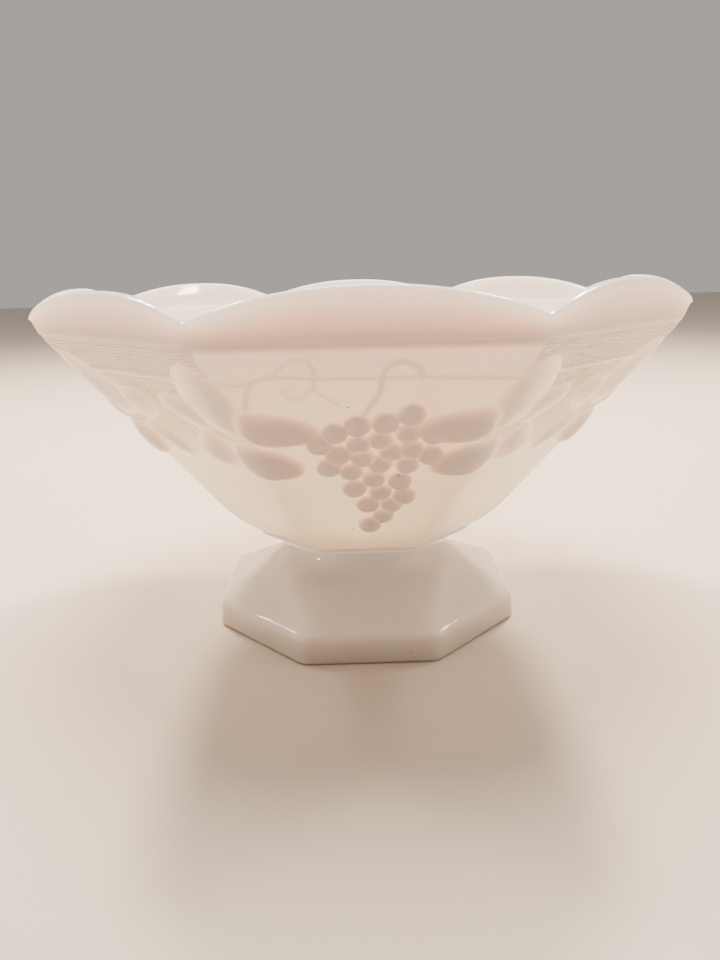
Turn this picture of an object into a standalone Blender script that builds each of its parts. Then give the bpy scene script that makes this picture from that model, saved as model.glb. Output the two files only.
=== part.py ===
"""Footed serving bowl in pressed opal glass: an eight-sided bowl with a scalloped lip and moulded
grapes and vine leaves, and the hollow eight-sided foot that carries it.

Metres, +Z up, standing on Z = 0 with its axis on Z. A panel of the bowl faces -Y.
"""
import math

import bmesh
import bpy
from mathutils import Vector

# ---------------------------------------------------------------- driving dimensions
RIM_CORNER = 0.1206             # centre to a corner of the rim, before it is softened
VALLEY_HEIGHT = 0.1253          # the lip's lowest points, at the corners
PEAK_HEIGHT = 0.1333            # the lip's highest points, in the middle of each panel
BAND_HEIGHT = 0.1187            # lower edge of the plain band under the lip
BAND_CORNER = 0.1179
SCALLOP_POWER = 2.2             # 2 is a parabola, more is a flatter top
NUB = 0.0014                    # small point at each corner of the rim
WALL = 0.0046                   # thickness of the panels
LIP_WALL = 0.0036               # thickness of the lip
CREASE_HEIGHT = 0.1229          # inside, where the upright lip meets the sloping wall

BASE_CORNER = 0.0463            # centre to a corner, at the lower edge of the panels
BASE_HEIGHT = 0.0386
BOWL_BOTTOM = 0.0352            # the bowl's flat underside
FLOOR_HEIGHT = 0.0416           # the middle of the bowl's floor
JOINT_GAP = 0.0003

NECK_RADIUS = 0.0288
NECK_TOP_RADIUS = 0.0318
FOOT_CORNER = 0.0639            # centre to a corner of the foot
FOOT_BAND = 0.0119              # height of the foot's upright edge
FOOT_EDGE = 0.0018              # radius of the foot's rounded edges
FOOT_FILLET_HEIGHT = 0.0237     # where the foot's sloping top turns up into the neck
RING_WIDTH = 0.0085             # flat ring that the foot stands on
HOLLOW_HEIGHT = 0.0150

GRAPE_RADIUS = 0.0031
GRAPE_LIFT = 0.0020             # how far a grape stands out of its panel
GRAPE_SIDES = 8
# a bunch, one line for each row from the top: how far each grape is to the right of the panel's
# middle, and its height, in millimetres
BUNCH = ((-9.6, 91.6), (-3.0, 94.1), (5.1, 94.7), (12.5, 97.4), (19.3, 90.6),
         (-14.2, 87.7), (-2.7, 87.5), (3.7, 89.0), (11.8, 91.0),
         (-8.9, 83.5), (-1.6, 82.4), (7.2, 84.5), (13.4, 85.2), (19.0, 82.9),
         (-11.8, 79.0), (-5.1, 77.1), (4.0, 79.8), (12.0, 79.4),
         (2.2, 74.0), (10.1, 73.0),
         (-4.1, 70.2), (4.1, 68.3), (11.6, 66.6),
         (-0.6, 63.1), (7.5, 62.4),
         (5.1, 57.6),
         (0.2, 53.3))
LEAF_CENTRE = 0.0292            # sideways from the middle of a leaf panel, close to its edge
LEAF_HEIGHT = 0.0940
LEAF_REACH = 0.0280             # sideways, from the leaf's middle to the tip of a lobe
LEAF_RISE = 0.68                # a leaf is lower than it is wide by this
LEAF_LIFT = 0.0016
LEAF_SIDES = 20
VINE_HEIGHT = 0.1096
VINE_WIDTH = 0.0016
VINE_LIFT = 0.0006

PANELS = 8
HALF_PANEL = math.pi / PANELS
# where the points of every ring lie between the two corners of a panel, in parts of half a panel
RING_STEPS = (-1.0, -0.95, -0.83, -0.62, -0.33, 0.0, 0.33, 0.62, 0.83, 0.95)
CORNER_SHARPNESS = 80.0         # a higher power makes a crisper edge between two panels
COS_HALF = math.cos(HALF_PANEL)
WALL_SLOPE = math.radians(53)   # of the middle of a panel, from level
UPRIGHT = math.sin(WALL_SLOPE)  # height gained for each metre up along a panel


# ---------------------------------------------------------------- the shape as formulas
def within_panel(azimuth):
    """The angle from the middle of the nearest panel, from -HALF_PANEL to HALF_PANEL."""
    turns = round(azimuth / (2 * HALF_PANEL))
    return azimuth - turns * 2 * HALF_PANEL


def octagon_radius(azimuth, corner):
    """Radius of an eight-sided section with soft corners; azimuth 0 is the middle of a panel."""
    angle = within_panel(azimuth)
    total = sum(max(0.0, math.cos(angle - side * 2 * HALF_PANEL)) ** CORNER_SHARPNESS
                for side in (-1, 0, 1))
    return corner * COS_HALF / total ** (1 / CORNER_SHARPNESS)


def section_radius(azimuth, corner, roundness):
    """Between an eight-sided section (roundness 0) and a circle (roundness 1)."""
    return (1 - roundness) * octagon_radius(azimuth, corner) + roundness * corner


def at(azimuth, radius, height):
    return Vector((radius * math.sin(azimuth), -radius * math.cos(azimuth), height))


def scallop(azimuth):
    """0 at a corner of the rim, 1 in the middle of a panel."""
    across = math.tan(within_panel(azimuth)) / math.tan(HALF_PANEL)
    return 1 - min(1.0, abs(across)) ** SCALLOP_POWER


def nub(azimuth):
    """1 at a corner of the rim, falling to 0 within two degrees."""
    from_corner = HALF_PANEL - abs(within_panel(azimuth))
    return math.exp(-(from_corner / math.radians(1.1)) ** 2)


def curve_through(points, steps):
    """Points on a smooth curve (Catmull-Rom) through the given (radius, height) points."""
    ends = [2 * Vector(points[0]) - Vector(points[1])]
    ends += [Vector(point) for point in points]
    ends.append(2 * ends[-1] - ends[-2])
    curve = []
    for a, b, c, d in zip(ends, ends[1:], ends[2:], ends[3:]):
        for step in range(steps):
            t = step / steps
            curve.append(0.5 * (2 * b + (c - a) * t + (2 * a - 5 * b + 4 * c - d) * t * t
                                + (3 * b - a - 3 * c + d) * t ** 3))
    curve.append(ends[-2])
    return curve


def wall_profile():
    """The bowl's outer corner line, from the panels' lower edge to the band."""
    return [(BASE_CORNER, BASE_HEIGHT),
            (0.0520, 0.0412),
            (0.0590, 0.0480),
            (0.0682, 0.0595),
            (0.1048, 0.1040),
            (0.1116, 0.1107),
            (0.1156, 0.1148),
            (BAND_CORNER, BAND_HEIGHT)]


def wall_corner(height):
    """The outer corner radius of the bowl at a height between the panels' two edges."""
    profile = wall_profile()
    for low, high in zip(profile, profile[1:]):
        if height <= high[1]:
            part = (height - low[1]) / (high[1] - low[1])
            return low[0] + part * (high[0] - low[0])
    return profile[-1][0]


def lip_point(azimuth, rise, inward):
    """A point of the lip: rise goes from 0 at the band to 1 at the edge, inward is into the glass."""
    arch = scallop(azimuth)
    edge = VALLEY_HEIGHT + (PEAK_HEIGHT - VALLEY_HEIGHT) * arch
    height = BAND_HEIGHT + (edge - BAND_HEIGHT) * rise
    corner = BAND_CORNER + (RIM_CORNER - BAND_CORNER) * rise
    radius = octagon_radius(azimuth, corner)
    radius += NUB * nub(azimuth) * max(0.0, rise - 0.3)
    return at(azimuth, radius - inward, height)


def on_wall(panel, across, height, lift):
    """A point by the wall: across is the distance along the section from the panel's middle."""
    corner = wall_corner(height)
    half_side = corner * math.sin(HALF_PANEL)
    if abs(across) > half_side:
        side = math.copysign(1, across)
        panel += side
        across -= side * 2 * half_side
    azimuth = panel * 2 * HALF_PANEL + math.atan2(across, corner * COS_HALF)
    radius = octagon_radius(azimuth, corner)
    return at(azimuth, radius + lift * UPRIGHT, height - lift * math.cos(WALL_SLOPE))


def relief_ring(bm, panel, across, height, sides, lift, reach, rise=1.0, mirror=1):
    """A closed ring of points on the wall round a place; reach is its radius at each angle."""
    ring = []
    for step in range(sides):
        angle = 2 * math.pi * step / sides
        sideways = across + mirror * reach(angle) * math.cos(angle)
        upward = height + UPRIGHT * rise * reach(angle) * math.sin(angle)
        ring.append(bm.verts.new(on_wall(panel, sideways, upward, lift)))
    return ring


def close_relief(bm, rings):
    """Joins rings of points one above the other, and fills the first and the last."""
    for low, high in zip(rings, rings[1:]):
        for i, corner in enumerate(low):
            bm.faces.new((low[i - 1], corner, high[i], high[i - 1]))
    bm.faces.new(rings[0])
    bm.faces.new(rings[-1])


# ---------------------------------------------------------------- modelling steps
def ring_azimuths():
    return [panel * 2 * HALF_PANEL + step * HALF_PANEL
            for panel in range(PANELS) for step in RING_STEPS]


def first_ring(bm, place):
    """A filled ring of points; returns its edges."""
    azimuths = ring_azimuths()
    verts = bmesh.ops.create_circle(bm, cap_ends=True, segments=len(azimuths), radius=1)["verts"]
    for vert, azimuth in zip(verts, azimuths):
        vert.co = place(azimuth)
    return list({edge for vert in verts for edge in vert.link_edges})


def next_ring(bm, edges, place):
    """Extrudes the open ring and sets its points to their new places."""
    grown = bmesh.ops.extrude_edge_only(bm, edges=edges)["geom"]
    for vert in grown:
        if isinstance(vert, bmesh.types.BMVert):
            vert.co = place(math.atan2(vert.co.x, -vert.co.y))
    return [edge for edge in grown if isinstance(edge, bmesh.types.BMEdge) and edge.is_boundary]


def close_ring(bm, edges):
    bmesh.ops.holes_fill(bm, edges=edges, sides=0)


def turned_ring(corner, height, roundness=0.0):
    return lambda azimuth: at(azimuth, section_radius(azimuth, corner, roundness), height)


def lip_ring(rise, inward):
    return lambda azimuth: lip_point(azimuth, rise, inward)


def new_object(name, bm, material=None):
    bmesh.ops.recalc_face_normals(bm, faces=bm.faces[:])
    mesh = bpy.data.meshes.new(name)
    bm.to_mesh(mesh)
    bm.free()
    mesh.shade_smooth()
    mesh.set_sharp_from_angle(angle=math.radians(35))
    if material:
        mesh.materials.append(material)
    item = bpy.data.objects.new(name, mesh)
    bpy.context.scene.collection.objects.link(item)
    return item


def add_relief(item, relief):
    """Joins a raised pattern to the glass, and hides the pattern's own object."""
    union = item.modifiers.new(relief.name, "BOOLEAN")
    union.operation = "UNION"
    union.solver = "EXACT"
    union.object = relief
    relief.hide_render = True
    relief.display_type = "WIRE"


def opal_glass(name, colour, roughness):
    material = bpy.data.materials.new(name)
    material.use_nodes = True
    shader = material.node_tree.nodes["Principled BSDF"]
    shader.inputs["Base Color"].default_value = colour
    shader.inputs["Roughness"].default_value = roughness
    shader.inputs["Metallic"].default_value = 0.0
    material.diffuse_color = colour
    return material


# ---------------------------------------------------------------- the bowl
def bowl_shell(material):
    """The bowl: flat underside, eight sloping panels, scalloped lip, and the inside down to its floor."""
    bm = bmesh.new()
    edges = first_ring(bm, turned_ring(BASE_CORNER - 0.0060, BOWL_BOTTOM, 0.6))
    edges = next_ring(bm, edges, turned_ring(BASE_CORNER - 0.0014, BASE_HEIGHT - 0.0020, 0.1))
    for corner, height in wall_profile():
        edges = next_ring(bm, edges, turned_ring(corner, height))
    for rise, inward in ((0.45, 0.0), (0.85, 0.0), (1.0, 0.0012), (1.0, LIP_WALL - 0.0008)):
        edges = next_ring(bm, edges, lip_ring(rise, inward))
    edges = next_ring(bm, edges, lip_ring(0.85, LIP_WALL))
    edges = next_ring(bm, edges, turned_ring(RIM_CORNER - 0.0010 - LIP_WALL - 0.0012, CREASE_HEIGHT))
    for corner, height in inner_profile():
        edges = next_ring(bm, edges, turned_ring(corner, height, roundness_inside(height)))
    close_ring(bm, edges)
    return new_object("bowl", bm, material)


def inner_profile():
    """The inside corner line from under the crease to the floor, parallel to the outer wall."""
    slope = math.radians(51)
    out, up = WALL * math.sin(slope), WALL * math.cos(slope)
    wall = [(corner - out, height + up)
            for corner, height in ((0.1048, 0.1040), (0.0682, 0.0595))]
    floor = [(0.0575, 0.0532), (0.0490, 0.0465), (0.0380, 0.0428), (0.0200, FLOOR_HEIGHT)]
    return wall + floor


def roundness_inside(height):
    """The inside turns from eight-sided to round as it comes down to the floor."""
    part = (0.0640 - height) / (0.0640 - FLOOR_HEIGHT)
    return min(1.0, max(0.0, part))


def grape(bm, panel, across, height):
    """A round dome whose foot is sunk in the wall."""
    layers = ((1.0, -0.0012), (0.62, GRAPE_LIFT))
    rings = [relief_ring(bm, panel, across, height, GRAPE_SIDES, lift,
                         lambda angle: GRAPE_RADIUS * size)
             for size, lift in layers]
    close_relief(bm, rings)


def grapes():
    """The same hanging bunch of grapes on every other panel."""
    bm = bmesh.new()
    for panel in range(0, PANELS, 2):
        for across, height in BUNCH:
            grape(bm, panel, across * 0.001, height * 0.001)
    return new_object("grapes_relief", bm)


def leaf(bm, panel, side):
    """A five-lobed leaf laid over the edge between two panels, low in the middle."""
    layers = ((1.0, -0.0014), (0.94, 0.0006), (0.66, LEAF_LIFT), (0.22, 0.0009))
    rings = [relief_ring(bm, panel, side * LEAF_CENTRE, LEAF_HEIGHT, LEAF_SIDES, lift,
                         lambda angle: LEAF_REACH * size * (0.62 + 0.38 * abs(math.cos(2.5 * angle))),
                         LEAF_RISE, side)
             for size, lift in layers]
    close_relief(bm, rings)


def leaves():
    """Two leaves on every panel between two bunches."""
    bm = bmesh.new()
    for panel in range(1, PANELS, 2):
        for side in (-1, 1):
            leaf(bm, panel, side)
    return new_object("leaves_relief", bm)


def vine():
    """A thin stem that runs all the way round under the band."""
    bm = bmesh.new()
    section = ((-0.0008, 0.5), (VINE_LIFT * 0.5, 0.5), (VINE_LIFT, 0.0),
               (VINE_LIFT * 0.5, -0.5), (-0.0008, -0.5))
    rings = []
    for lift, up in section:
        height = VINE_HEIGHT + up * VINE_WIDTH
        corner = wall_corner(height)
        ring = [bm.verts.new(at(azimuth, octagon_radius(azimuth, corner) + lift, height))
                for azimuth in ring_azimuths()]
        rings.append(ring)
    count = len(rings[0])
    for ring, following in zip(rings, rings[1:] + rings[:1]):
        for i in range(count):
            bm.faces.new((ring[i], ring[(i + 1) % count], following[(i + 1) % count], following[i]))
    return new_object("vine_relief", bm)


# ---------------------------------------------------------------- the foot
def pedestal_foot(material):
    """The foot: round neck, sloping eight-sided top, upright edge, and a hollow underneath."""
    edge = FOOT_EDGE * 0.3
    bm = bmesh.new()
    edges = first_ring(bm, turned_ring(0.0100, HOLLOW_HEIGHT, 1.0))
    hollow = ((0.0300, HOLLOW_HEIGHT - 0.0012, 0.8), (0.0445, HOLLOW_HEIGHT - 0.0045, 0.5),
              (FOOT_CORNER - RING_WIDTH - 0.0020, 0.0045, 0.2), (FOOT_CORNER - RING_WIDTH, 0.0, 0.1))
    outside = ((FOOT_CORNER - FOOT_EDGE, 0.0, 0.0), (FOOT_CORNER - edge, edge, 0.0),
               (FOOT_CORNER, FOOT_EDGE, 0.0), (FOOT_CORNER - 0.0004, FOOT_BAND - FOOT_EDGE, 0.0),
               (FOOT_CORNER - 0.0004 - edge, FOOT_BAND - edge, 0.0),
               (FOOT_CORNER - 0.0004 - FOOT_EDGE, FOOT_BAND, 0.0))
    top = curve_through([(0.0590, 0.0134), (0.0400, 0.0203), (0.0325, FOOT_FILLET_HEIGHT),
                         (NECK_RADIUS, 0.0290), (NECK_TOP_RADIUS, BOWL_BOTTOM - JOINT_GAP)], 2)
    for corner, height, roundness in hollow + outside:
        edges = next_ring(bm, edges, turned_ring(corner, height, roundness))
    for corner, height in top:
        roundness = min(1.0, max(0.0, (0.0590 - corner) / (0.0590 - 0.0330)))
        edges = next_ring(bm, edges, turned_ring(corner, height, roundness))
    close_ring(bm, edges)
    return new_object("pedestal_foot", bm, material)


def main():
    for item in list(bpy.data.objects):
        bpy.data.objects.remove(item, do_unlink=True)
    bowl = bowl_shell(opal_glass("bowl_glass", (0.80, 0.72, 0.66, 1.0), 0.28))
    for relief in (grapes(), leaves(), vine()):
        add_relief(bowl, relief)
    pedestal_foot(opal_glass("foot_glass", (0.62, 0.57, 0.52, 1.0), 0.15))


main()
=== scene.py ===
# %% [markdown]
# A footed serving bowl in pressed opal glass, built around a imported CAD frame. The CAD bowl and foot
# give the place and the sizes. Two finer bodies take their places here: an eight-sided bowl whose wall
# carries raised grapes, vine leaves and a running vine, and a hollow foot with a soft, glossy top.
# Opal glass is white because tiny particles in it scatter light, so it glows where it is thin and
# turns darker where the pattern makes it thicker. The wall therefore needs its true thickness, and the
# pattern has to be real relief and not a painted bump.

# %% Frame
import math

import bmesh
import bpy
import numpy as np
from mathutils import Matrix, Vector


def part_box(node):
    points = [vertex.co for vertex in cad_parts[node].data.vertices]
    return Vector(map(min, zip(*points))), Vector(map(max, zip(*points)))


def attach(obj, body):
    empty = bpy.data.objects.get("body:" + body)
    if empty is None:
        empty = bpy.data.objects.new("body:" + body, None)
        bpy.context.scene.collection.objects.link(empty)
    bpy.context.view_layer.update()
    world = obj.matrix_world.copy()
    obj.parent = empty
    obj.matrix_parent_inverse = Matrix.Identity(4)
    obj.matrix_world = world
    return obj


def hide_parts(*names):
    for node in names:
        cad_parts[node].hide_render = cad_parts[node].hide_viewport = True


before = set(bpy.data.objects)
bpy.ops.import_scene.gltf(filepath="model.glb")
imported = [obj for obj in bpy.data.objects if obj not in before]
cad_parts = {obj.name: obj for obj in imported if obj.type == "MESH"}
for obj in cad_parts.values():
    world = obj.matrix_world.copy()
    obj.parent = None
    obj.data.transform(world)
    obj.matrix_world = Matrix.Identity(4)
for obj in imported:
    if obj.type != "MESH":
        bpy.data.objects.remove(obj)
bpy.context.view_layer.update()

# %% [markdown]
# Everything is measured from the frame. The bowl's box reaches out to the flats of its sides, so the
# corners' distance from the axis follows from it, and one millimetre of the real bowl is that distance
# divided by its design value. All sizes below are in these millimetres.

# %% Sizes from the frame
PANELS = 8
HALF = math.pi / PANELS                    # half the angle of one panel
bowl_low, bowl_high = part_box("bowl")
foot_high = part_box("pedestal_foot")[1]
DESIGN_CORNER = 120.2                      # the bowl's corner radius in millimetres
MM = bowl_high.x / math.cos(HALF) / DESIGN_CORNER
print("one millimetre is", round(MM, 6), "m; the bowl spans", [round(v, 4) for v in bowl_high - bowl_low])

PEAK = bowl_high.z                         # top of a scallop
UNDERSIDE = bowl_low.z                     # of the bowl, where the neck meets it

# %% [markdown]
# The camera stands where a person sitting at the table holds a telephone: close, a little above the
# lip, and looking slightly down.

# %% Camera
camera_data = bpy.data.cameras.new("table_camera")
camera_data.lens = 27.07
camera_data.sensor_width = 36.0
camera_data.sensor_fit = "AUTO"
camera_data.clip_start = 0.01
camera = bpy.data.objects.new("table_camera", camera_data)
bpy.context.scene.collection.objects.link(camera)
heading = Matrix.Rotation(math.radians(-0.741), 4, "Z")
looking_down = Matrix.Rotation(math.radians(90 - 15.786), 4, "X")
head_tilt = Matrix.Rotation(math.radians(-1.302), 4, "Z")
camera.matrix_world = (Matrix.Translation((-5.2 * MM, -292.2 * MM, 135.1 * MM))
                       @ heading @ looking_down @ head_tilt)
bpy.context.scene.camera = camera
print("camera at", [round(v, 4) for v in camera.location])

# %% [markdown]
# Every level section of the bowl and of the foot is the same figure: eight straight sides with soft
# corners, or that figure on its way to a circle. A formula says it all. The support of each side is
# raised to a high power, and the sum's root is the section: the higher the power, the crisper the
# corner. The azimuth is 0 in the middle of the front panel.

# %% The eight-sided section
CRISP = 80.0
SOFT = 45.0


def in_panel(azimuth):
    """The angle from the middle of the nearest panel."""
    return azimuth - np.round(azimuth / (2 * HALF)) * 2 * HALF


def section(azimuth, corner, crispness=CRISP, roundness=0.0):
    """Distance from the axis; corner is the radius of the sharp corner, roundness 1 is a circle."""
    angle = in_panel(azimuth)
    support = sum(np.maximum(0.0, np.cos(angle - side * 2 * HALF)) ** crispness for side in (-1, 0, 1))
    eight_sided = corner * math.cos(HALF) / support ** (1 / crispness)
    return (1 - roundness) * eight_sided + roundness * corner


def place(azimuth, radius, height):
    return Vector((radius * math.sin(azimuth), -radius * math.cos(azimuth), height))


flat = float(section(0.0, DESIGN_CORNER * MM))
print("a panel's middle is", round(flat / MM, 1), "mm from the axis at the rim")

# %% [markdown]
# The outside of the wall, seen along a corner, is a straight slope that steepens into the lip and eases
# into the base. It is drawn with a few points and rounded by averaging over a short height, which is
# what a polished mould does to a drawn line.

# %% The wall's outline
BASE = 37.6 * MM                           # lower edge of the panels
BAND = 118.7 * MM                          # lower edge of the plain band under the lip
WALL_LINE = [(38.6, 33.2), (46.0, 37.6), (51.8, 41.5), (56.8, 45.8), (62.8, 52.8), (68.2, 59.5),
             (104.8, 104.0), (111.6, 110.8), (115.4, 114.9), (117.9, 118.7), (119.6, 123.0)]
SLOPE = math.radians(53)                   # of the middle of a panel, from level


def wall_corner(height):
    """Corner radius of the wall's outside at a height, rounded over two millimetres each way."""
    radii, heights = np.array(WALL_LINE).T * MM
    return np.mean([np.interp(height + shift, heights, radii)
                    for shift in np.linspace(-2 * MM, 2 * MM, 9)], axis=0)


# %% [markdown]
# The pattern is a map of heights over the wall. A place on a panel is given by how far it is to the
# right of the panel's middle and how high it is, in millimetres. Each grape is a dome. The ones in
# front of the bunch are larger and stand further out than the ones between them.

# %% The bunch of grapes
FRONT_GRAPES = [(-9.6, 91.6), (-3.0, 94.1), (5.1, 94.7), (12.5, 97.4), (19.3, 90.6), (-14.2, 87.7),
                (-8.9, 83.7), (19.0, 82.9), (-11.8, 79.0), (10.1, 73.0), (-4.1, 70.2), (11.8, 66.6),
                (0.2, 63.1), (0.9, 53.6)]
BACK_GRAPES = [(-2.7, 87.5), (3.7, 89.0), (11.8, 91.0), (-1.6, 82.4), (7.0, 84.5), (13.2, 85.2),
               (-5.1, 77.1), (3.8, 79.8), (12.2, 79.4), (2.0, 74.0), (4.1, 68.3), (7.8, 62.6), (5.3, 57.6)]
FRONT_SIZE = (4.0, 2.4)                    # half a grape's width, and how far it stands out
BACK_SIZE = (3.8, 1.9)
UPRIGHT = math.sin(SLOPE)                  # height gained for each step up along a panel
LONG = 1.12                                # a grape's length over its width
GRAPE_GROOVE = 0.75


def dome(across, height, centre, radius, lift):
    """A cap a little longer than wide: full height in its middle, steep at its edge."""
    off = ((across - centre[0]) ** 2 + ((height - centre[1]) / UPRIGHT / LONG) ** 2) / radius ** 2
    return lift * np.sqrt(np.clip(1 - off, 0, None))


def with_grooves(shapes, depth):
    """The highest of the shapes, less a part of the next one, so a groove runs where two meet."""
    ordered = np.sort(shapes, axis=0)
    return ordered[-1] - depth * ordered[-2]


def grapes(across, height):
    raised = [dome(across, height, grape, *FRONT_SIZE) for grape in FRONT_GRAPES]
    raised += [dome(across, height, grape, *BACK_SIZE) for grape in BACK_GRAPES]
    return with_grooves(raised, GRAPE_GROOVE)


print(len(FRONT_GRAPES) + len(BACK_GRAPES), "grapes in a bunch")

# %% [markdown]
# A vine leaf has five lobes, and each is a pillow with a blunt end and a narrower tip. Neighbouring
# lobes meet in a groove. Two leaves hang on every panel between two bunches, mirror images of each
# other, and each one laps over the corner on to the bunch's panel, so across is measured along the
# section and carries on past the corner.

# %% The leaves
# each lobe: across, height, half its length, half its width, how far it is turned, how far it stands
# out, and how softly it ends
LOBES = [(46.9, 93.2, 12.8, 7.6, 0, 1.8, 0.6), (34.2, 80.9, 11.8, 8.4, -5, 2.0, 0.6),
         (31.0, 102.5, 15.5, 11.0, 62, 1.3, 0.75), (12.5, 97.0, 10.5, 7.5, 165, 1.3, 0.8),
         (13.5, 82.5, 11.0, 8.0, 210, 1.3, 0.8)]
TAPER = 0.22                               # how much wider the blunt end is than the middle
TILT = 0.3                                 # how much higher one side is than the middle
BLUNTNESS = 2.8                            # 2 would be an ellipse
LEAF_GROOVE = 0.7


def lobe(across, height, centre_across, centre_height, length, width, turn, lift, softness):
    """A pillow with a blunt end and a narrower tip, a little higher along one side."""
    x = across - centre_across
    y = (height - centre_height) / UPRIGHT
    turn = math.radians(turn)
    along = (x * math.cos(turn) + y * math.sin(turn)) / length
    aside = (y * math.cos(turn) - x * math.sin(turn)) / (width * (1 - TAPER * np.clip(along, -1, 1)))
    tilt = 1 - TILT * np.clip(aside, -1, 1)
    return lift * tilt * np.clip(1 - np.abs(along) ** BLUNTNESS - aside ** 2, 0, None) ** softness


def leaf(across, height):
    return with_grooves([lobe(across, height, *shape) for shape in LOBES], LEAF_GROOVE)


# %% [markdown]
# The vine is a thin round stem that runs round the whole bowl under the band, with a curled tendril
# beside each bunch and a hooked stem that carries it. Each is a smooth curve through a few places, and
# the height at a point depends only on how near that curve is.

# %% The vine
VINE_LEVEL = 108.2                         # its height where it passes a corner
VINE_WIDTH = 0.8                           # half its width
VINE_LIFT = 0.7                            # how far it stands out
VINE = [(-60.0, VINE_LEVEL), (-43.0, 108.0), (-34.5, 107.9), (-29.6, 109.3), (-25.7, 110.1), (-17.8, 109.6),
        (-2.2, 109.2), (14.0, 109.3), (29.8, 108.6), (44.0, VINE_LEVEL), (60.0, VINE_LEVEL)]
TENDRIL = [(-25.4, 110.0), (-22.9, 113.0), (-19.9, 114.7), (-16.7, 114.8), (-14.6, 113.0), (-14.1, 110.1),
           (-14.7, 107.1), (-16.7, 104.8), (-19.3, 103.3), (-21.8, 103.8), (-22.9, 106.0)]
TENDRIL_TAIL = [(-14.4, 108.1), (-14.0, 105.8), (-11.6, 103.5), (-8.2, 101.2)]
LEAF_STEM = [(-31.4, 108.4), (-33.1, 104.4), (-34.0, 100.7)]
STEM = [(-1.1, 97.7), (1.7, 102.2), (3.3, 105.0), (3.9, 109.0), (5.2, 112.4), (8.7, 113.9), (11.6, 113.2),
        (13.5, 111.7), (14.5, 109.3)]


def smooth_curve(points, steps=12):
    """Points on a smooth curve (Catmull-Rom) through the given ones."""
    ends = [2 * Vector(points[0]) - Vector(points[1])] + [Vector(point) for point in points]
    ends.append(2 * ends[-1] - ends[-2])
    curve = []
    for a, b, c, d in zip(ends, ends[1:], ends[2:], ends[3:]):
        for t in np.arange(steps) / steps:
            curve.append(0.5 * (2 * b + (c - a) * t + (2 * a - 5 * b + 4 * c - d) * t ** 2
                                + (3 * b - a - 3 * c + d) * t ** 3))
    return curve + [ends[-2]]


def cord_relief(across, height, points, width, lift):
    """A raised round line along a curve; width is half the line's width."""
    curve = smooth_curve(points)
    nearest = np.full(np.shape(across), np.inf)
    for start, end in zip(curve, curve[1:]):
        run = (end.x - start.x, (end.y - start.y) / UPRIGHT)
        x, y = across - start.x, (height - start.y) / UPRIGHT
        part = np.clip((x * run[0] + y * run[1]) / (run[0] ** 2 + run[1] ** 2), 0, 1)
        nearest = np.minimum(nearest, np.hypot(x - part * run[0], y - part * run[1]))
    return lift * np.sqrt(np.clip(1 - (nearest / width) ** 2, 0, None))


# the lines on a bunch's panel: places, half the width, and how far each stands out
CORDS = [(VINE, VINE_WIDTH, VINE_LIFT), (TENDRIL, 0.8, 0.6), (TENDRIL_TAIL, 0.7, 0.5),
         (LEAF_STEM, 1.2, 0.6), (STEM, 1.1, 0.8)]


def bunch_panel(across, height):
    """Grapes, stem, tendril and vine on a panel that carries a bunch."""
    return np.max([grapes(across, height)] + [cord_relief(across, height, *cord) for cord in CORDS], axis=0)


def leaf_panel(across, height):
    """Two mirrored leaves and the vine on a panel between two bunches."""
    off_vine = (height - VINE_LEVEL) / UPRIGHT / VINE_WIDTH
    vine = VINE_LIFT * np.sqrt(np.clip(1 - off_vine ** 2, 0, None))
    return np.max([leaf(across, height), leaf(-across, height), vine], axis=0)


def relief(azimuth, height):
    """How far the pattern stands out of the wall, in metres, for arrays of places."""
    corner = wall_corner(height)
    half_side = corner * math.sin(HALF)
    panel = np.round(azimuth / (2 * HALF)).astype(int)
    across = np.tan(in_panel(azimuth)) * corner * math.cos(HALF)
    raised = np.zeros(len(azimuth))
    bunch = panel % 2 == 0
    raised[bunch] = bunch_panel(across[bunch] / MM, height[bunch] / MM)
    raised[~bunch] = leaf_panel(across[~bunch] / MM, height[~bunch] / MM)
    for side in (-1, 1):
        past_corner = bunch & (side * across < 0)
        lapped = 2 * half_side[past_corner] + side * across[past_corner]
        raised[past_corner] = np.maximum(raised[past_corner], leaf(lapped / MM, height[past_corner] / MM))
    return raised * MM


# %% [markdown]
# The wall is modelled as a tube: a circle of points, extruded row by row up the outline. Only the faces
# under the pattern are then divided more finely, so the detail goes where it is needed. Then every
# point is set on the exact wall and pushed out by the relief, as a sculptor would do it.

# %% The outside of the wall
COLUMNS = 32                               # faces across one panel
ROWS = 39                                  # faces from its lower edge to the band
CROWDING = 0.22                            # how much closer together the points lie at the corners
PATTERN_CUTS = 3                           # cuts across each face under the pattern
WALL_END = 0.3 * MM                        # the rows stop this far below the band


def ring_azimuths(columns):
    """Where the points of a ring lie: evenly along each side, a little closer at the corners."""
    steps = np.arange(-columns / 2, columns / 2) / (columns / 2)
    steps = steps + CROWDING / math.pi * np.sin(math.pi * steps)
    one_panel = np.arctan(steps * math.tan(HALF))
    return [float(panel * 2 * HALF + angle) for panel in range(PANELS) for angle in one_panel]


def start_ring(bm, shape, columns=COLUMNS):
    """A circle of points set to a shape; returns its edges."""
    azimuths = ring_azimuths(columns)
    verts = bmesh.ops.create_circle(bm, segments=len(azimuths), radius=1, cap_ends=False)["verts"]
    for vert, azimuth in zip(verts, azimuths):
        vert.co = shape(azimuth)
    return list({edge for vert in verts for edge in vert.link_edges})


def grow_ring(bm, edges, shape):
    """Extrudes the open ring and sets its new points to a shape."""
    grown = bmesh.ops.extrude_edge_only(bm, edges=edges)["geom"]
    for vert in grown:
        if isinstance(vert, bmesh.types.BMVert):
            vert.co = shape(math.atan2(vert.co.x, -vert.co.y))
    return [edge for edge in grown if isinstance(edge, bmesh.types.BMEdge) and edge.is_boundary]


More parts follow.
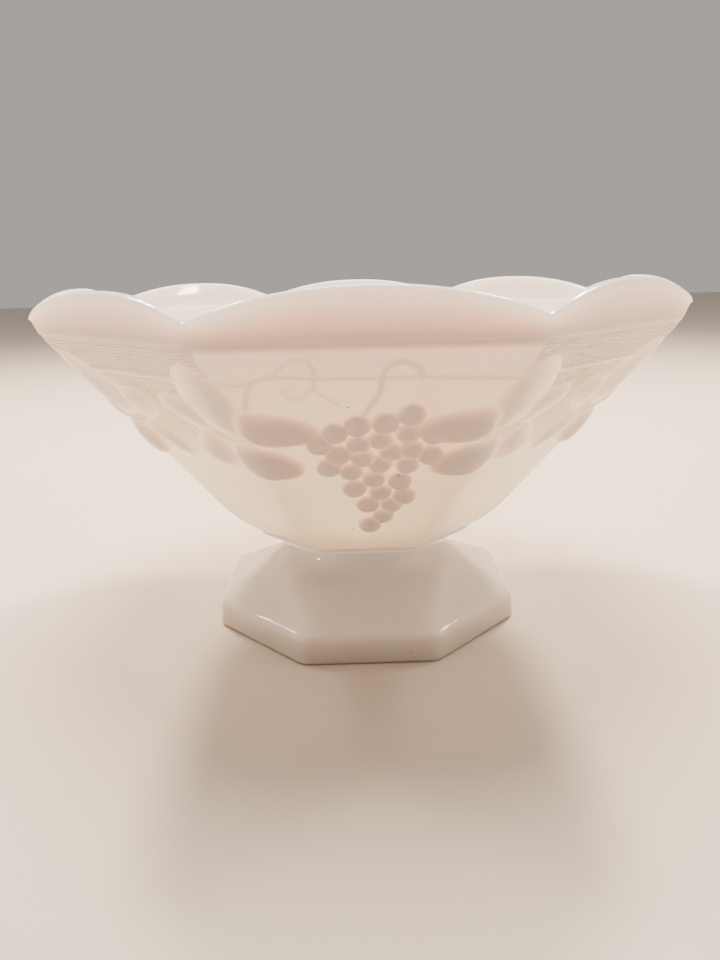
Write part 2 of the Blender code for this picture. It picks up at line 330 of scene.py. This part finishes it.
def wall_shape(height):
    return lambda azimuth: place(azimuth, float(section(azimuth, wall_corner(height))), height)


def azimuths_and_heights(points):
    points = np.array([point[:] for point in points])
    return np.arctan2(points[:, 0], -points[:, 1]), points[:, 2]


def divide_where(bm, chosen, cuts):
    """Cuts up the faces for which chosen, an array of true and false in face order, is true."""
    edges = {edge for face, take in zip(bm.faces[:], chosen) if take for edge in face.edges}
    bmesh.ops.subdivide_edges(bm, edges=list(edges), cuts=cuts, use_grid_fill=True)


def near_relief(faces):
    """Whether there is any pattern in the middle of each face or about half a face away from it."""
    azimuth, height = azimuths_and_heights([face.calc_center_median() for face in faces])
    found = np.zeros(len(azimuth), bool)
    for turn in (-0.5, 0.0, 0.5):
        for up in (-0.9 * MM, 0.0, 0.9 * MM):
            moved = azimuth + turn * 2 * HALF / COLUMNS
            found |= relief(moved, height + up) > 0.0
    return found


bowl_mesh = bmesh.new()
heights = np.linspace(BASE, BAND - WALL_END, ROWS + 1)
ring = start_ring(bowl_mesh, wall_shape(heights[0]))
for height in heights[1:]:
    ring = grow_ring(bowl_mesh, ring, wall_shape(height))
print(len(bowl_mesh.faces), "faces in the plain wall")
divide_where(bowl_mesh, near_relief(bowl_mesh.faces), PATTERN_CUTS)
print(len(bowl_mesh.faces), "faces after the pattern is divided")


def sculpt(bm):
    """Sets every point on the wall's formula, pushed out by the pattern, and notes how far."""
    azimuths, heights = azimuths_and_heights([vert.co for vert in bm.verts])
    raised = relief(azimuths, heights)
    radii = section(azimuths, wall_corner(heights))
    note = bm.verts.layers.float.new("relief")
    for vert, azimuth, radius, height, lift in zip(bm.verts, azimuths, radii, heights, raised):
        vert.co = place(azimuth, radius + lift * UPRIGHT, height - lift * math.cos(SLOPE))
        vert[note] = lift / MM


sculpt(bowl_mesh)
print("the pattern stands out by up to", round(max(v[bowl_mesh.verts.layers.float["relief"]]
                                                   for v in bowl_mesh.verts), 2), "mm")

# %% [markdown]
# The lip goes on from the wall's upper edge. A small step makes the plain band stand proud. The lip
# flares a little and its corners soften towards its edge, which is flat on top with round shoulders,
# as fire polishing leaves it. The hot glass sagged slightly on one side. Inside, the lip drops to a soft
# crease with a faint bead along it, where the sloping wall begins.

# %% The lip
LIP_WALL = 3.7 * MM
ROUND = 1.3 * MM                           # height of the edge's rounding
SHOULDER = 0.6                             # 1 would be an ellipse; less is squarer
RIM_CORNER = 120.6 * MM
VALLEY = 125.3 * MM                        # the lip's lowest places, at the corners
SAG = 0.8 * MM                             # how much lower the edge lies round SAG_AZIMUTH
SAG_AZIMUTH = -3 * HALF
STEP = 0.35 * MM                           # how far the band stands proud of the wall
STEP_INSET = 0.25 * MM                     # the foot of that step lies this far inside the band
CREASE = 122.1 * MM
BAND_CORNER = float(wall_corner(BAND))
SCALLOP_POWER = 2.2                        # 2 would be a parabola
SOFTENING = 0.2                            # part of the corners' crispness lost at the edge


def scallop(azimuth):
    """0 at a corner, 1 in the middle of a panel."""
    return 1 - abs(math.tan(in_panel(azimuth)) / math.tan(HALF)) ** SCALLOP_POWER


def edge_height(azimuth):
    sagged = SAG * max(0.0, math.cos(azimuth - SAG_AZIMUTH)) ** 4
    return VALLEY + (PEAK - VALLEY) * scallop(azimuth) - sagged


def lip_radius(azimuth, rise):
    """The outside of the lip: rise is 0 at the band and 1 at the edge."""
    corner = BAND_CORNER + (RIM_CORNER - BAND_CORNER) * rise
    return float(section(azimuth, corner, CRISP * (1 - SOFTENING * rise))) + STEP


def outer_lip(rise, inward=0.0):
    def shape(azimuth):
        height = BAND + (edge_height(azimuth) - BAND) * rise
        return place(azimuth, lip_radius(azimuth, rise) - inward, height)
    return shape


def lip_edge(turn):
    """The edge, flat with round shoulders: turn runs from the outside over the top to the inside."""
    across = math.copysign(abs(math.cos(turn)) ** SHOULDER, math.cos(turn)) * LIP_WALL / 2
    up = math.sin(turn) ** SHOULDER * ROUND

    def shape(azimuth):
        radius = lip_radius(azimuth, 1.0) - LIP_WALL / 2 + across
        return place(azimuth, radius, edge_height(azimuth) - ROUND + up)
    return shape


def inner_lip(part):
    """The inside of the lip: part is 1 under the edge and 0 at the crease."""
    def shape(azimuth):
        height = CREASE + (edge_height(azimuth) - ROUND - CREASE) * part
        rise = (height - BAND) / (edge_height(azimuth) - BAND)
        return place(azimuth, lip_radius(azimuth, rise) - LIP_WALL, height)
    return shape


ring = [edge for edge in bowl_mesh.edges
        if edge.is_boundary and min(vert.co.z for vert in edge.verts) > BAND - 1 * MM]
ring = grow_ring(bowl_mesh, ring, outer_lip(0.0, STEP_INSET))
for rise in (0.03, 0.12, 0.24, 0.36, 0.48, 0.6, 0.7, 0.8):
    ring = grow_ring(bowl_mesh, ring, outer_lip(rise))
for turn in np.linspace(0.03, 0.97, 11) * math.pi:
    ring = grow_ring(bowl_mesh, ring, lip_edge(turn))
for part in (0.8, 0.6, 0.4, 0.2, 0.06):
    ring = grow_ring(bowl_mesh, ring, inner_lip(part))
print(len(bowl_mesh.faces), "faces with the lip")

# %% [markdown]
# A faint bead follows the crease. Below it the inside runs parallel to the outside, and turns from
# eight-sided to round as it nears the floor. Underneath, the panels end in a fine nick, and the bowl's
# foot end is flat, where the neck was stuck to it while both were hot. Both holes are filled, and each
# filling is poked to give it a middle point.

# %% The inside and the underside
# each place: corner radius, height and, underneath, how round the section is
INSIDE_LINE = [(114.1, 122.4), (113.2, 122.3), (112.5, 121.6), (112.0, 120.4), (109.8, 117.2),
               (101.0, 107.0), (84.0, 86.0), (68.6, 67.3), (61.4, 58.9), (54.4, 52.2), (45.5, 46.6),
               (34.0, 43.0), (20.0, 41.6)]
UNDER_LINE = [(45.3, 37.6, 0.0), (44.9, 37.2, 0.0), (45.1, 36.7, 0.02), (44.7, 36.1, 0.1),
              (42.8, 35.5, 0.3), (39.8, 35.25, 0.6)]
FLAT_END = [(36.0, 0.8), (18.0, 1.0)]      # corner radius and roundness, on the flat underneath
FLOOR = 41.6 * MM                          # the inside is round here
ROUND_FROM = 66.0 * MM                     # and starts to turn round here


def turned(corner, height, roundness=0.0, crispness=SOFT):
    return lambda azimuth: place(azimuth, float(section(azimuth, corner, crispness, roundness)), height)


def close_hole(bm, edges):
    filled = bmesh.ops.holes_fill(bm, edges=edges, sides=0)["faces"]
    bmesh.ops.poke(bm, faces=filled)


for point in smooth_curve(INSIDE_LINE, 2):
    roundness = min(1.0, max(0.0, (ROUND_FROM - point.y * MM) / (ROUND_FROM - FLOOR)))
    ring = grow_ring(bowl_mesh, ring, turned(point.x * MM, point.y * MM, roundness))
close_hole(bowl_mesh, ring)

ring = [edge for edge in bowl_mesh.edges if edge.is_boundary]
for corner, height, roundness in UNDER_LINE:
    ring = grow_ring(bowl_mesh, ring, turned(corner * MM, height * MM, roundness, CRISP))
for corner, roundness in FLAT_END:
    ring = grow_ring(bowl_mesh, ring, turned(corner * MM, UNDERSIDE, roundness))
close_hole(bowl_mesh, ring)
print(len(bowl_mesh.faces), "faces in the whole bowl")

# %% [markdown]
# The ground of the panels is faintly ribbed and stippled in the mould, most of all between the leaves
# and the band. It is far too fine for geometry, so the material draws it, as a bump and as painted shade
# along the ribs. For that each point notes how strong the ribbing is there, and a UV map holds the place
# on the panel in metres: across, and up along the slope. The band's lower edge and the nick under the
# panels get painted shade, noted with the relief as if they were thick glass.

# %% Notes for the material, and the finished bowl
RIBS_FROM = 78.0 * MM
RIBS_FULL = 108.0 * MM
RIBS_LEAST = 0.1                           # their strength below RIBS_FROM
RIBS_ON_BUNCH = 0.15                       # their strength on a bunch's panel, for 1 on the others
BAND_SHADE = 1.5                           # painted shade at the band's lower edge, as relief in millimetres
BAND_FADE = 0.8                            # the part of the lip over which that fades out
# painted shade in the nick under the panels, as relief in millimetres
NICK_SHADE = 1.5
NICK_TOP = BASE - 0.1 * MM
NICK_LOW = BASE - 0.6 * MM
BAND_FROM = BAND - 0.4 * MM                # just under the last row of the wall
NO_PATTERN = 0.08                          # ground is where the relief is under this, in millimetres


def note_glass(bm):
    """Notes the ribbed ground, and painted shade at the band's lower edge and in the nick, on the outside
    of the bowl.
    """
    raised = bm.verts.layers.float["relief"]
    ground = bm.verts.layers.float.new("ground")
    for vert in bm.verts:
        azimuth = math.atan2(vert.co.x, -vert.co.y)
        height = vert.co.z
        if vert.normal.xy.dot(vert.co.xy) < 0 or height < NICK_LOW:
            vert[raised] = 0.0
        elif height < NICK_TOP:
            # painted shade in the nick, noted as thick relief
            vert[raised] = NICK_SHADE
        elif height > BAND_FROM:
            rise = (height - BAND) / (edge_height(azimuth) - BAND)
            # painted shade at the band's lower edge, fading out up the lip
            vert[raised] = BAND_SHADE * max(0.0, 1 - rise / BAND_FADE)
        elif vert[raised] < NO_PATTERN:
            part = min(1.0, max(0.0, (height - RIBS_FROM) / (RIBS_FULL - RIBS_FROM)))
            bunch = round(azimuth / (2 * HALF)) % 2 == 0
            vert[ground] = (RIBS_LEAST + (1 - RIBS_LEAST) * part) * (RIBS_ON_BUNCH if bunch else 1.0)


def lay_panels(bm):
    """The UV map: across a panel and up its slope, in metres."""
    uv = bm.loops.layers.uv.new("panel")
    for face in bm.faces:
        middle = face.calc_center_median()
        azimuth = math.atan2(middle.x, -middle.y)
        panel = round(azimuth / (2 * HALF)) * 2 * HALF
        sideways = Vector((math.cos(panel), math.sin(panel)))
        for loop in face.loops:
            loop[uv].uv = (loop.vert.co.xy.dot(sideways), loop.vert.co.z / UPRIGHT)


def finish_body(bm, name):
    bmesh.ops.recalc_face_normals(bm, faces=bm.faces[:])
    bm.normal_update()
    lay_panels(bm)
    if "relief" in bm.verts.layers.float:
        note_glass(bm)
    mesh = bpy.data.meshes.new(name)
    bm.to_mesh(mesh)
    bm.free()
    mesh.shade_smooth()
    body = bpy.data.objects.new(name, mesh)
    bpy.context.scene.collection.objects.link(body)
    mesh.calc_loop_triangles()
    print(name, len(mesh.loop_triangles), "triangles")
    return body


bowl = finish_body(bowl_mesh, "opal_bowl")

# %% [markdown]
# The foot is one closed body too: from the middle of its hollow, out over the ring that it stands on,
# up the rounded edge, and in along the sloping top into the round neck. The ridges between its eight
# sides are crisp at the edge and melt away towards the neck.

# %% The foot
FOOT_WIDER = 0.55 * MM                     # how far its corners lie outside the CAD foot's
FOOT_CORNER = foot_high.x / math.cos(HALF) + FOOT_WIDER
# each place on these two: corner radius, height and, in the hollow, how round the section is
HOLLOW_LINE = [(10.0, 15.0, 1.0), (22.0, 14.6, 1.0), (31.0, 13.6, 0.8), (40.0, 11.6, 0.6), (47.0, 8.6, 0.4),
               (51.6, 5.0, 0.3), (53.8, 2.0, 0.2), (54.8, 0.6, 0.15), (55.8, 0.0, 0.1)]
TOP_LINE = [(58.9, 12.5), (53.0, 15.0), (46.0, 17.9), (39.5, 20.4), (34.6, 22.4), (31.0, 25.0),
            (29.4, 27.8), (29.4, 30.6), (31.6, 33.3), (36.4, 35.1)]
HOLLOW_MIDDLE = (4.0, 15.1)                # the first ring, round the middle of the hollow
LOW_EDGE = 1.7 * MM                        # radius of the edge that it stands on
TOP_EDGE = 2.8 * MM                        # radius of the edge above it
EDGE_TOP = 11.5 * MM
SIDE_SLOPE = 0.5 * MM                      # how far the side leans in between the two edges
EIGHT_SIDED_TO = TOP_LINE[0][0]            # the corner radius at which the section starts to turn round
ROUND_AT = 33.0                            # and the one at which it is round


def foot_edge(turn, radius, corner, height):
    """A place on a rounded edge, as corner radius and height; turn 0 points straight down."""
    return (corner - radius + radius * math.sin(turn), height - radius * math.cos(turn))


foot_mesh = bmesh.new()
ring = start_ring(foot_mesh, turned(HOLLOW_MIDDLE[0] * MM, HOLLOW_MIDDLE[1] * MM, 1.0), COLUMNS // 2)
hollow_middle = ring
for corner, height, roundness in HOLLOW_LINE:
    ring = grow_ring(foot_mesh, ring, turned(corner * MM, height * MM, roundness, CRISP))
for turn in np.linspace(0.0, 0.5, 6) * math.pi:
    ring = grow_ring(foot_mesh, ring, turned(*foot_edge(turn, LOW_EDGE, FOOT_CORNER, LOW_EDGE), 0.0, CRISP))
for turn in np.linspace(0.5, 0.85, 9) * math.pi:
    on_edge = foot_edge(turn, TOP_EDGE, FOOT_CORNER - SIDE_SLOPE, EDGE_TOP - TOP_EDGE)
    ring = grow_ring(foot_mesh, ring, turned(*on_edge, 0.0, CRISP))
for point in smooth_curve(TOP_LINE, 3):
    part = min(1.0, max(0.0, (EIGHT_SIDED_TO - point.x) / (EIGHT_SIDED_TO - ROUND_AT)))
    ring = grow_ring(foot_mesh, ring, turned(point.x * MM, point.y * MM, part, CRISP * (1 - 0.7 * part)))
close_hole(foot_mesh, ring)
close_hole(foot_mesh, hollow_middle)
foot = finish_body(foot_mesh, "opal_foot")

# %% [markdown]
# Opal glass is a Principled shader with strong subsurface scattering. The light goes in on one side and
# comes out on the other, so the wall glows and the thicker pattern shades it. The base colour paints that
# light and shade once more, for renderers that don't scatter light: painted shade where the pattern is
# thick, along the ribs, at the band's lower edge and in the nick, a painted warm glow low down, where
# light comes through the wall, and the cooler tint of direct light at the lip. On the foot it is painted
# shade, darkest at the bottom, with a painted glow at the neck. A noise mixes in a little of the darker
# colour as random cloudy tone.

# %% Opal glass
SCATTER_RADIUS = (1.0, 0.82, 0.68)         # how far red, green and blue light go inside the glass
SCATTER_SCALE = 0.006                      # the metres that 1 stands for there
CLOUDING = (0.3, 0.8, 0.0, 0.22)           # a noise's range, and how much of the darker colour it mixes in as random cloudy tone
RELIEF_SHADE_RANGE = (0.15, 1.5)                  # the relief over which the painted shade comes in, in millimetres
RIB_SHADE_RANGE = (0.2, 1.4)                     # the same for painted shade, by the height of the ribs and wrinkles
LEVEL_PITCH = 0.00125                      # from rib to rib, in metres
UPRIGHT_PITCH = 0.0009
UPRIGHT_SHARE = 0.5                        # how strong the upright ribs are next to the level ones
HAIRLINE = 0.008                           # half a hairline's width, in its noise's own units
PATCHES = (0.45, 0.55, 0.0, 2.5)           # a noise's range, and how strong the hairlines are there
SPECK_EDGE = (0.07, 0.05)                  # 0 outside, 1 inside, in cells of the dot pattern
SPECKLESS = 0.86                           # the part of the cells that stays empty
GRIT = (0.12, 0.08, 0.06)


def node(tree, kind, **settings):
    made = tree.nodes.new(kind)
    for key, value in settings.items():
        if key in made.inputs:
            made.inputs[key].default_value = value
        else:
            setattr(made, key, value)
    return made


def ramp(tree, source, low, high, to_low=0.0, to_high=1.0):
    """A value mapped from low..high on to to_low..to_high, and kept inside it."""
    mapped = node(tree, "ShaderNodeMapRange")
    for name, value in (("From Min", low), ("From Max", high), ("To Min", to_low), ("To Max", to_high)):
        mapped.inputs[name].default_value = value
    tree.links.new(source, mapped.inputs["Value"])
    return mapped.outputs["Result"]


def blend(tree, factor, first, second):
    """A mix of two colours; each may be a plain colour or a socket."""
    mix = node(tree, "ShaderNodeMix", data_type="RGBA")
    tree.links.new(factor, mix.inputs["Factor"])
    for name, colour in (("A", first), ("B", second)):
        if isinstance(colour, tuple):
            mix.inputs[name].default_value = (*colour, 1.0)
        else:
            tree.links.new(colour, mix.inputs[name])
    return mix.outputs["Result"]


def by_height(tree, height, stops):
    """A colour that changes with height; each stop is a height in metres and a colour."""
    colours = node(tree, "ShaderNodeValToRGB")
    elements = colours.color_ramp.elements
    elements.remove(elements[1])
    elements[0].position = stops[0][0] / PEAK
    elements[0].color = (*stops[0][1], 1.0)
    for level, colour in stops[1:]:
        elements.new(level / PEAK).color = (*colour, 1.0)
    tree.links.new(ramp(tree, height, 0.0, PEAK), colours.inputs["Fac"])
    return colours.outputs["Color"]


def opal_glass(name, stops, cloud_and_shade, roughness, waviness):
    """Painted glow and shade by height, and a darker colour that tints random clouds and paints shade where
    the pattern is thick or ribbed.
    """
    material = bpy.data.materials.new(name)
    material.use_nodes = True
    tree = material.node_tree
    shader = tree.nodes["Principled BSDF"]
    shader.inputs["Subsurface Weight"].default_value = 1.0
    shader.inputs["Subsurface Radius"].default_value = SCATTER_RADIUS
    shader.inputs["Subsurface Scale"].default_value = SCATTER_SCALE
    shader.inputs["IOR"].default_value = 1.5

    coordinates = node(tree, "ShaderNodeTexCoord").outputs["Object"]
    parts = node(tree, "ShaderNodeSeparateXYZ")
    tree.links.new(coordinates, parts.inputs["Vector"])
    clouds = node(tree, "ShaderNodeTexNoise", Scale=16.0, Detail=4.0)
    tree.links.new(coordinates, clouds.inputs["Vector"])
    # painted glow and shade, by height
    plain = by_height(tree, parts.outputs["Z"], stops)
    clouded = blend(tree, ramp(tree, clouds.outputs["Fac"], *CLOUDING), plain, cloud_and_shade)
    # painted shade where the relief is thick, and at the band's lower edge and in the nick
    thickness = node(tree, "ShaderNodeAttribute", attribute_name="relief").outputs["Fac"]
    relief_shaded = blend(tree, ramp(tree, thickness, *RELIEF_SHADE_RANGE), clouded, cloud_and_shade)
    ground = node(tree, "ShaderNodeAttribute", attribute_name="ground").outputs["Fac"]
    ribbing = ribs(tree, coordinates, ground)
    # painted shade along the ribs and wrinkles
    ribbed = blend(tree, ramp(tree, ribbing, *RIB_SHADE_RANGE), relief_shaded, cloud_and_shade)
    dotted = blend(tree, specks(tree, coordinates), ribbed, GRIT)
    tree.links.new(dotted, shader.inputs["Base Color"])
    tree.links.new(ramp(tree, ground, 0.0, 1.0, *roughness), shader.inputs["Roughness"])

    waves = node(tree, "ShaderNodeTexNoise", Scale=55.0, Detail=2.0)
    tree.links.new(coordinates, waves.inputs["Vector"])
    skin = node(tree, "ShaderNodeBump", Strength=waviness, Distance=0.0003)
    tree.links.new(waves.outputs["Fac"], skin.inputs["Height"])
    lines = node(tree, "ShaderNodeBump", Strength=1.0, Distance=0.0004)
    tree.links.new(ribbing, lines.inputs["Height"])
    tree.links.new(skin.outputs["Normal"], lines.inputs["Normal"])
    tree.links.new(lines.outputs["Normal"], shader.inputs["Normal"])
    return material


def ribs(tree, coordinates, ground):
    """Fine, slightly wavy level ribs crossed by finer upright ones, where the ground is noted."""
    link = tree.links.new
    place_on_panel = node(tree, "ShaderNodeUVMap", uv_map="panel").outputs["UV"]
    wobble = node(tree, "ShaderNodeTexNoise", Scale=70.0, Detail=3.0)
    link(coordinates, wobble.inputs["Vector"])
    moved = node(tree, "ShaderNodeVectorMath", operation="MULTIPLY_ADD")
    moved.inputs[1].default_value = (0.002, 0.005, 0.0)
    link(wobble.outputs["Color"], moved.inputs[0])
    link(place_on_panel, moved.inputs[2])
    parts = node(tree, "ShaderNodeSeparateXYZ")
    link(moved.outputs["Vector"], parts.inputs["Vector"])
    waves = []
    for output, pitch in (("Y", LEVEL_PITCH), ("X", UPRIGHT_PITCH)):
        turns = node(tree, "ShaderNodeMath", operation="MULTIPLY")
        turns.inputs[1].default_value = 2 * math.pi / pitch
        wave = node(tree, "ShaderNodeMath", operation="SINE")
        link(parts.outputs[output], turns.inputs[0])
        link(turns.outputs["Value"], wave.inputs[0])
        waves.append(wave)
    crossed = node(tree, "ShaderNodeMath", operation="MULTIPLY_ADD")
    crossed.inputs[1].default_value = UPRIGHT_SHARE
    link(waves[1].outputs["Value"], crossed.inputs[0])
    link(waves[0].outputs["Value"], crossed.inputs[2])
    wrinkled = node(tree, "ShaderNodeMath", operation="ADD")
    link(crossed.outputs["Value"], wrinkled.inputs[0])
    link(wrinkles(tree, coordinates), wrinkled.inputs[1])
    masked = node(tree, "ShaderNodeMath", operation="MULTIPLY")
    link(wrinkled.outputs["Value"], masked.inputs[0])
    link(ground, masked.inputs[1])
    return masked.outputs["Value"]


def wrinkles(tree, coordinates):
    """Hairlines, in patches, where the skin of the hot glass folded as it met the mould."""
    folds = node(tree, "ShaderNodeTexNoise", Scale=60.0, Detail=4.0, Distortion=1.2)
    patches = node(tree, "ShaderNodeTexNoise", Scale=22.0, Detail=1.0)
    for noise in (folds, patches):
        tree.links.new(coordinates, noise.inputs["Vector"])
    level = node(tree, "ShaderNodeMath", operation="COMPARE")
    level.inputs[1].default_value = 0.5
    level.inputs[2].default_value = HAIRLINE
    tree.links.new(folds.outputs["Fac"], level.inputs[0])
    kept = node(tree, "ShaderNodeMath", operation="MULTIPLY")
    tree.links.new(level.outputs["Value"], kept.inputs[0])
    tree.links.new(ramp(tree, patches.outputs["Fac"], *PATCHES), kept.inputs[1])
    return kept.outputs["Value"]


def specks(tree, coordinates):
    """1 in a few tiny dots of grit that were caught in the glass."""
    cells = node(tree, "ShaderNodeTexVoronoi", Scale=200.0)
    tree.links.new(coordinates, cells.inputs["Vector"])
    dot = ramp(tree, cells.outputs["Distance"], *SPECK_EDGE)
    chosen = node(tree, "ShaderNodeSeparateColor")
    tree.links.new(cells.outputs["Color"], chosen.inputs["Color"])
    kept = node(tree, "ShaderNodeMath", operation="GREATER_THAN")
    kept.inputs[1].default_value = SPECKLESS
    tree.links.new(chosen.outputs["Red"], kept.inputs[0])
    both = node(tree, "ShaderNodeMath", operation="MULTIPLY")
    tree.links.new(dot, both.inputs[0])
    tree.links.new(kept.outputs["Value"], both.inputs[1])
    return both.outputs["Value"]


# painted warm glow low down, where light comes through the wall, and the cooler tint of direct light at the
# lip
bowl_painted_glow = [(0.036, (1.0, 0.90, 0.81)), (0.070, (0.98, 0.88, 0.78)), (0.100, (0.98, 0.88, 0.78)),
                (0.124, (0.93, 0.84, 0.82))]
# painted shade on the foot, darkest at its bottom, and a painted glow at the neck, lit through the bowl
foot_painted_shade_and_glow = [(0.0, (0.60, 0.49, 0.39)), (0.012, (0.86, 0.77, 0.68)), (0.022, (0.86, 0.77, 0.68)),
                (0.030, (1.0, 0.91, 0.81))]
bowl_glass = opal_glass("bowl_glass", bowl_painted_glow, (0.66, 0.575, 0.505), (0.06, 0.30), 0.2)
foot_glass = opal_glass("foot_glass", foot_painted_shade_and_glow, (0.74, 0.67, 0.60), (0.02, 0.2), 0.06)
bowl.data.materials.append(bowl_glass)
foot.data.materials.append(foot_glass)
for body, cad_node, finish in ((bowl, "bowl", "bowl_glass"), (foot, "pedestal_foot", "foot_glass")):
    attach(body, "root")
    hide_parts(cad_node)

# %% [markdown]
# The set is plain: a pale floor and a pale room. Two small warm lamps hang behind the bowl, left and
# right, as under a kitchen cabinet. They shine into the bowl, so the near panels glow while the foot
# stands in shade. Weaker lamps at the sides draw the highlights on the foot's edges and inside the
# lip. A wide soft lamp fills from above.

# %% Floor and light
floor_mesh = bmesh.new()
bmesh.ops.create_grid(floor_mesh, x_segments=1, y_segments=1, size=4.0)
floor_data = bpy.data.meshes.new("floor")
floor_mesh.to_mesh(floor_data)
floor_mesh.free()
floor = bpy.data.objects.new("floor", floor_data)
bpy.context.scene.collection.objects.link(floor)
floor_paint = bpy.data.materials.new("floor_paint")
floor_paint.use_nodes = True
floor_paint.node_tree.nodes["Principled BSDF"].inputs["Base Color"].default_value = (0.66, 0.56, 0.46, 1.0)
floor_paint.node_tree.nodes["Principled BSDF"].inputs["Roughness"].default_value = 0.6
floor.data.materials.append(floor_paint)


WARM = (1.0, 0.82, 0.66)
SOFTER = (1.0, 0.84, 0.70)
LAMP_TARGET = Vector((0, 0, 0.08))         # the middle of the bowl


def lamp(name, size, power, position, colour):
    """A round area light aimed at the middle of the bowl."""
    data = bpy.data.lights.new(name, "AREA")
    data.shape = "DISK"
    data.size = size
    data.energy = power
    data.color = colour
    item = bpy.data.objects.new(name, data)
    item.location = position
    aim = LAMP_TARGET - Vector(position)
    item.rotation_euler = aim.to_track_quat("-Z", "Y").to_euler()
    bpy.context.scene.collection.objects.link(item)


lamp("cabinet_left", 0.14, 20.0, (-0.42, 0.62, 0.86), WARM)
lamp("cabinet_right", 0.14, 20.0, (0.42, 0.62, 0.86), WARM)
lamp("side_left", 0.10, 4.5, (-0.74, 0.38, 0.82), SOFTER)
lamp("side_right", 0.10, 4.5, (0.74, 0.38, 0.82), SOFTER)
lamp("low_left", 0.12, 1.6, (-0.97, -0.18, 0.34), SOFTER)
lamp("low_right", 0.08, 2.0, (0.95, -0.13, 0.50), SOFTER)
lamp("overhead", 0.6, 26.0, (0.0, 0.20, 1.3), (1.0, 0.92, 0.84))
world = bpy.data.worlds.new("pale_room")
bpy.context.scene.world = world
world.use_nodes = True
world.node_tree.nodes["Background"].inputs["Color"].default_value = (0.90, 0.84, 0.79, 1.0)
world.node_tree.nodes["Background"].inputs["Strength"].default_value = 0.5
